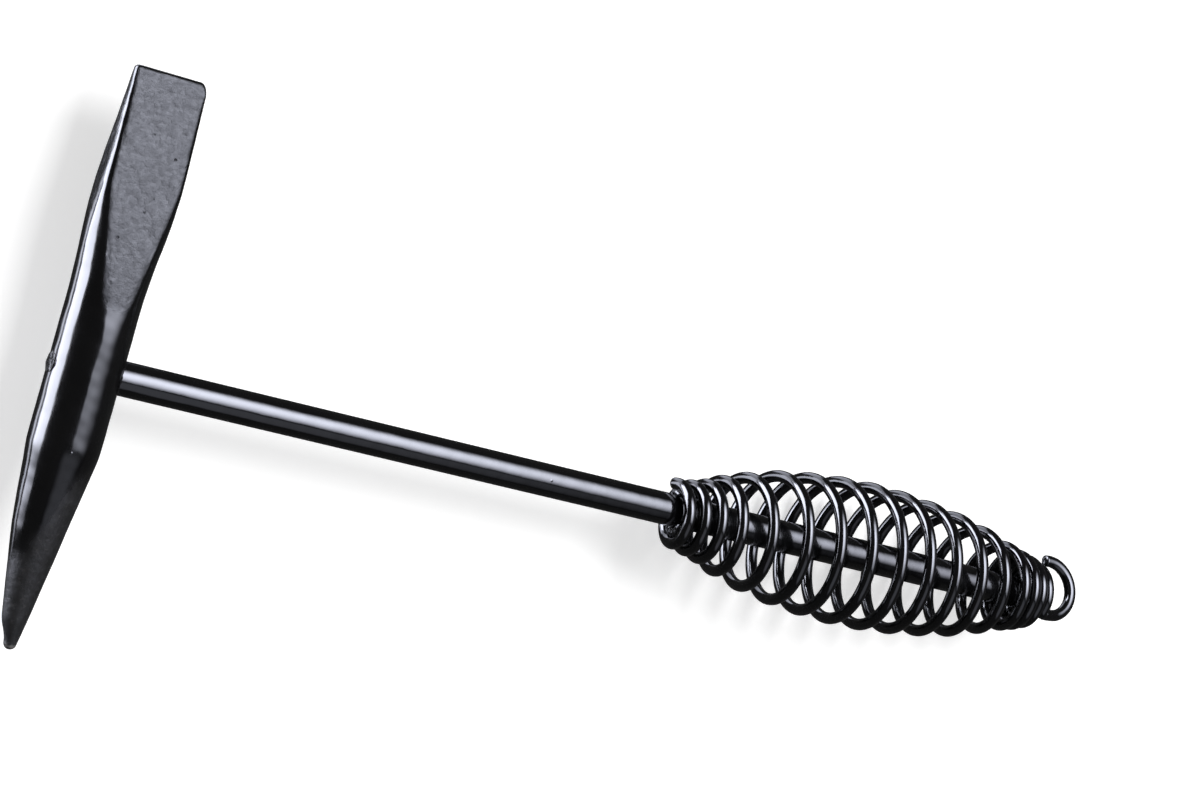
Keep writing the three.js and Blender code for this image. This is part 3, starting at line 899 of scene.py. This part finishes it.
lens = bpy.data.cameras.new("camera")
lens.lens = LENS
lens.sensor_width = SENSOR
lens.clip_end = 20
camera = bpy.data.objects.new("camera", lens)
bpy.context.scene.collection.objects.link(camera)
aim(camera, CAMERA_SPOT, CAMERA_TARGET, CAMERA_UP)
bpy.context.scene.camera = camera
bpy.context.scene.view_settings.view_transform = "Standard"
print("camera", round(float(np.linalg.norm(np.subtract(CAMERA_SPOT, CAMERA_TARGET)))), "mm from its target")

# %% Panels that show in reflections
PANEL_TARGET = np.array([20.0, 0.0, 0.0])
PANEL_DISTANCE = 1300.0
PANEL_COLOUR = (0.83, 0.86, 1.0, 1)
CHISEL_WAY = (0.0, 1.0, 0.0)


def flat_mesh(name, width, depth, material):
    """A flat card in its own XY plane, used only for the studio."""
    x, y = width / 2, depth / 2
    mesh = bpy.data.meshes.new(name)
    mesh.from_pydata([(-x, -y, 0), (x, -y, 0), (x, y, 0), (-x, y, 0)], [], [(0, 1, 2, 3)])
    mesh.materials.append(material)
    card = bpy.data.objects.new(name, mesh)
    bpy.context.scene.collection.objects.link(card)
    return card


def panel(name, turn, rise, spread, strength, across, along):
    """A glowing card seen from the head at a turn from +Z toward +X and a rise toward +Y, in degrees.

    spread gives the degrees from its middle to its sides and to its ends. across and along give the shares
    from -1 to 1 where the glow starts, is full, starts to fall and is gone.
    """
    glow = Finish(name, (1, 1, 1))
    glow.tree.nodes.remove(glow.paint)
    split = glow.tree.nodes.new("ShaderNodeSeparateXYZ")
    glow.join(glow.place, split.inputs[0])
    half = np.tan(np.radians(spread)) * PANEL_DISTANCE * MM
    level = strength
    for side, (start, full, falling, gone) in enumerate((across, along)):
        share = glow.math("DIVIDE", split.outputs[side], half[side])
        level = glow.math("MULTIPLY", level, glow.ramp(share, start, full))
        level = glow.math("MULTIPLY", level, glow.ramp(share, falling, gone, 1.0, 0.0))
    lamp = glow.tree.nodes.new("ShaderNodeEmission")
    glow.join(level, lamp.inputs["Strength"])
    lamp.inputs["Color"].default_value = PANEL_COLOUR
    glow.join(lamp.outputs[0], glow.tree.nodes["Material Output"].inputs["Surface"])
    card = flat_mesh(name, 2 * half[0], 2 * half[1], glow.material)
    turn, rise = np.radians(turn), np.radians(rise)
    way = np.array([np.sin(turn) * np.cos(rise), np.sin(rise), np.cos(turn) * np.cos(rise)])
    aim(card, PANEL_TARGET + way * PANEL_DISTANCE, PANEL_TARGET, CHISEL_WAY)
    card.visible_camera = False
    card.visible_shadow = False
    card.visible_diffuse = False
    print(name, "toward", way.round(2))


panel(
    "front_panel", turn=32, rise=20, spread=(30, 42), strength=23,
    across=(-1, -0.85, -0.35, 1), along=(-0.86, 0.25, 0.27, 1),
)
panel(
    "low_panel", turn=14, rise=-38, spread=(34, 28), strength=0.9,
    across=(-1, -0.4, 0.2, 1), along=(-1, -0.5, 0.5, 1),
)
panel(
    "left_panel", turn=-107, rise=20, spread=(22, 42), strength=25,
    across=(-1, -0.9, 0.85, 1), along=(-1, -0.5, 0.6, 1),
)
panel(
    "back_panel", turn=195, rise=40, spread=(34, 16), strength=3,
    across=(-1, -0.6, 0.6, 1), along=(-1, -0.5, 0.5, 1),
)
panel(
    "left_strip", turn=-140, rise=8, spread=(6, 34), strength=7,
    across=(-1, -0.7, 0.7, 1), along=(-1, -0.4, 0.3, 1),
)

# %% The plain lamp
KEY_SPOT = (420.0, 620.0, 1050.0)
KEY_TARGET = (120.0, 0.0, 0.0)
KEY_POWER = 12
KEY_SIZE = 0.6

key_lamp = bpy.data.lights.new("key_lamp", "AREA")
key_lamp.energy = KEY_POWER
key_lamp.size = KEY_SIZE
key = bpy.data.objects.new("key_lamp", key_lamp)
bpy.context.scene.collection.objects.link(key)
aim(key, KEY_SPOT, KEY_TARGET, CHISEL_WAY)
key.visible_glossy = False

# %% Floor and world
FLOOR_SIZE = 6.0
FLOOR_COLOUR = (0.8, 0.8, 0.8)
FLOOR_GLOW = 0.55
WORLD_LEVEL = 0.3
ROOM_LEVEL = 0.06


def floor_material():
    """Pale matt floor. Part of its white is a glow to the camera, so that its shadow stays light."""
    pale = Finish("pale_floor", FLOOR_COLOUR)
    pale.paint.inputs["Base Color"].default_value = (*FLOOR_COLOUR, 1)
    pale.paint.inputs["Roughness"].default_value = 0.9
    pale.paint.inputs["Specular IOR Level"].default_value = 0
    light_path = pale.tree.nodes.new("ShaderNodeLightPath")
    glow = pale.tree.nodes.new("ShaderNodeEmission")
    seen = pale.math("MAXIMUM", light_path.outputs["Is Camera Ray"], light_path.outputs["Is Glossy Ray"])
    seen = pale.math("MAXIMUM", seen, light_path.outputs["Is Transmission Ray"])
    pale.join(pale.math("MULTIPLY", seen, FLOOR_GLOW), glow.inputs["Strength"])
    both = pale.tree.nodes.new("ShaderNodeAddShader")
    pale.join(pale.paint.outputs[0], both.inputs[0])
    pale.join(glow.outputs[0], both.inputs[1])
    pale.join(both.outputs[0], pale.tree.nodes["Material Output"].inputs["Surface"])
    return pale.material


floor = flat_mesh("floor", FLOOR_SIZE, FLOOR_SIZE, floor_material())
floor.visible_glossy = False
floor.visible_shadow = False


def white_world():
    """White to the camera, a dim room in reflections, and a low even light on surfaces."""
    world = bpy.data.worlds.new("studio")
    world.use_nodes = True
    bpy.context.scene.world = world
    tree = world.node_tree
    sky = tree.nodes["Background"]
    light_path = tree.nodes.new("ShaderNodeLightPath")
    room = tree.nodes.new("ShaderNodeMix")
    tree.links.new(light_path.outputs["Is Glossy Ray"], room.inputs[0])
    room.inputs[2].default_value = WORLD_LEVEL
    room.inputs[3].default_value = ROOM_LEVEL
    seen = tree.nodes.new("ShaderNodeMath")
    seen.operation = "MAXIMUM"
    tree.links.new(light_path.outputs["Is Camera Ray"], seen.inputs[0])
    tree.links.new(light_path.outputs["Is Transmission Ray"], seen.inputs[1])
    level = tree.nodes.new("ShaderNodeMix")
    tree.links.new(seen.outputs[0], level.inputs[0])
    tree.links.new(room.outputs[0], level.inputs[2])
    level.inputs[3].default_value = 1.0
    tree.links.new(level.outputs[0], sky.inputs["Strength"])
    sky.inputs["Color"].default_value = (1, 1, 1, 1)


white_world()
print("studio ready")
